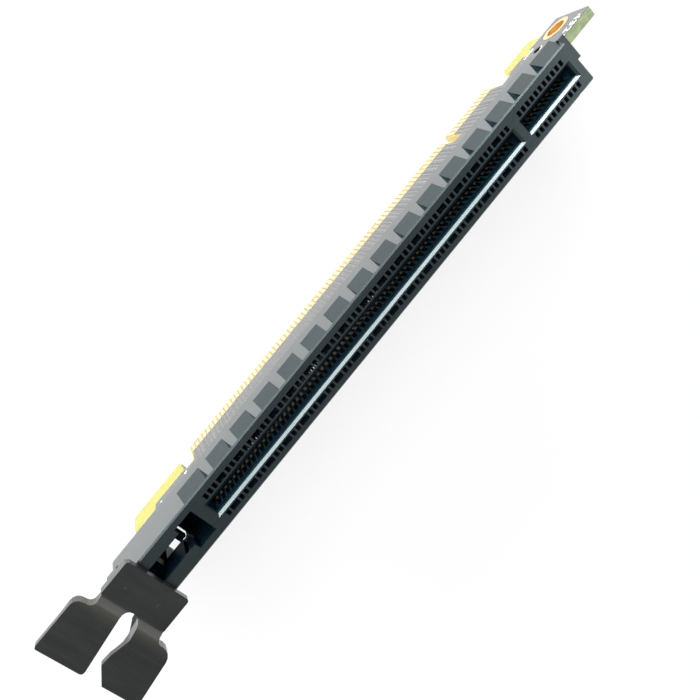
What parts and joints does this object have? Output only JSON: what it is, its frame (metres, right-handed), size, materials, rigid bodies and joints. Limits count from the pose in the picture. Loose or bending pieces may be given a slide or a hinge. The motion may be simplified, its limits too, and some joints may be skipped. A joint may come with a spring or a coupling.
{
  "type": "expansion slot extender card",
  "caption": "Short straight adapter card: an edge plug below and a matching long card socket with a hinged end latch above, used to extend or protect an expansion slot.",
  "frame": {"origin": "centre of the board's thickness in the plane of the socket's mating face, midway between contact 1 and the last contact", "axes": "+X along the card towards contact 1, +Y square to the board out of its row B face, +Z out of the socket mouth, away from the edge plug"},
  "size_m": [0.129, 0.0175, 0.033],
  "materials": {
    "board": "satin",
    "gold": "polished",
    "black_plastic": "satin",
    "latch_plastic": "satin",
    "spring_metal": "plated"
  },
  "bodies": {
    "card": {"circuit_board": "board", "hole_plating": "gold", "locating_pin": "black_plastic", "socket_housing": "black_plastic", "pads_b_key": "gold", "pads_a_key": "gold", "pads_b_x1": "gold", "pads_a_x1": "gold", "pads_b_x4": "gold", "pads_a_x4": "gold", "pads_b_x8": "gold", "pads_a_x8": "gold", "pads_b_x16": "gold", "pads_a_x16": "gold", "springs_b_key": "spring_metal", "springs_a_key": "spring_metal", "springs_b_x1": "spring_metal", "springs_a_x1": "spring_metal", "springs_b_x4": "spring_metal", "springs_a_x4": "spring_metal", "springs_b_x8": "spring_metal", "springs_a_x8": "spring_metal", "springs_b_x16": "spring_metal", "springs_a_x16": "spring_metal"},
    "latch": {"card_latch": "latch_plastic"}
  },
  "joints": [
    {"name": "latch_hinge", "type": "hinge", "parent": "card", "child": "latch", "pos_m": [-0.0586, 0, -0.0052], "axis": [0, -1, 0], "range_deg": [0, 30]}
  ]
}
